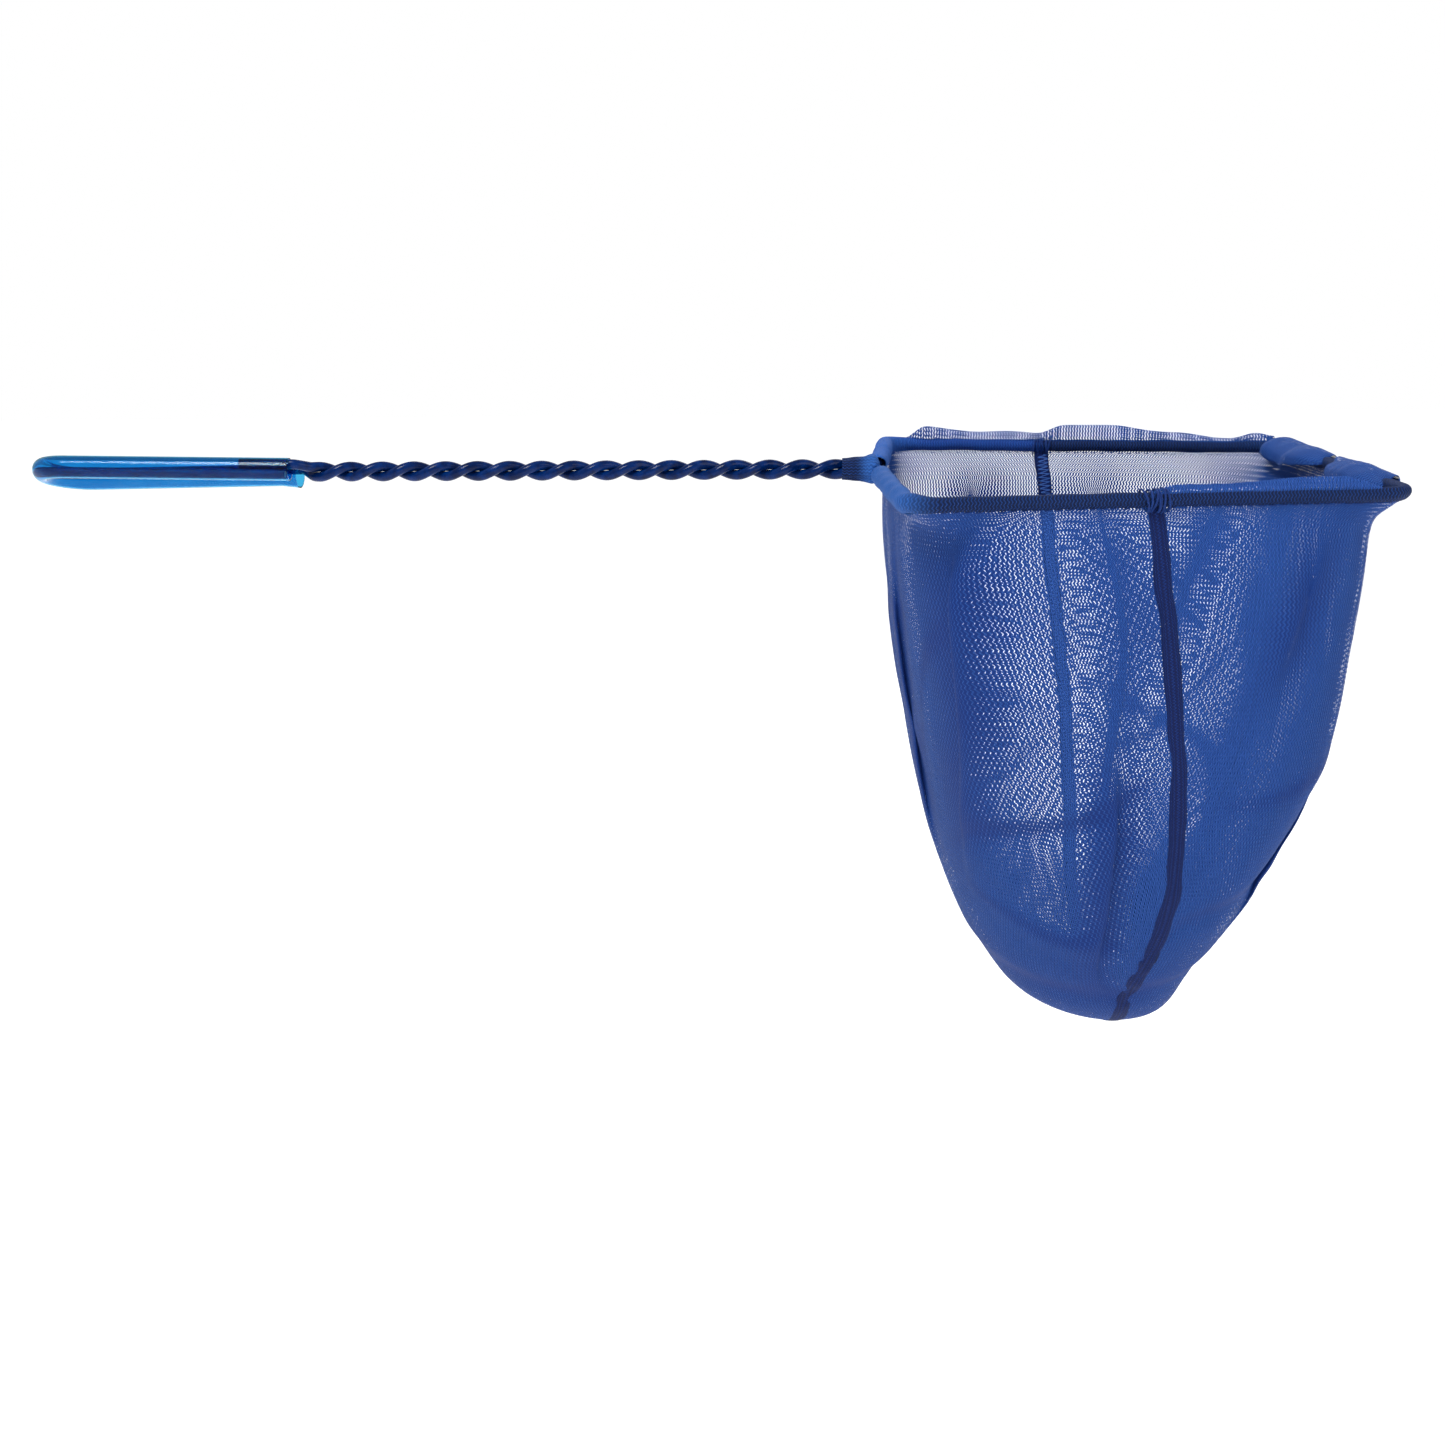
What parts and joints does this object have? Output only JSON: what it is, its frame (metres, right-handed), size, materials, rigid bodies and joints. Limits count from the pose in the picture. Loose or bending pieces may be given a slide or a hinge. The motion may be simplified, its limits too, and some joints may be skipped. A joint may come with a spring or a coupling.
{
  "type": "hand net",
  "caption": "Hand net with a deep knitted mesh bag on a small wire hoop and a short twisted-wire handle that ends in a vinyl-sleeved hand loop.",
  "frame": {"origin": "inside of the hand loop's round end, where a hook bears", "axes": "+X along the handle from the hand loop to the hoop, +Y across the hoop, +Z out of the bag's mouth"},
  "size_m": [0.6295, 0.2532, 0.2959],
  "materials": {
    "steel_wire": "drawn",
    "wire_coating": "gloss",
    "grip_vinyl": "clear gloss",
    "bag_mesh": "open warp knit",
    "hem_fabric": "folded warp knit",
    "seam_binding": "overlocked",
    "sewing_thread": "twisted thread"
  },
  "bodies": {
    "root": {"core_wire": "steel_wire", "hoop_jacket": "wire_coating", "handle_jacket_near": "wire_coating", "handle_jacket_far": "wire_coating", "grip_jacket": "wire_coating", "grip_sleeve": "grip_vinyl", "neck_collar": "hem_fabric", "hem_casing_rear_near": "hem_fabric", "hem_casing_rear_far": "hem_fabric", "hem_casing_front": "hem_fabric", "hem_frill_near": "hem_fabric", "hem_frill_far": "hem_fabric", "hem_stitching": "sewing_thread", "net_panel_rear": "bag_mesh", "net_panel_front": "bag_mesh", "bag_seam": "seam_binding", "bag_seam_thread": "sewing_thread"}
  },
  "joints": []
}
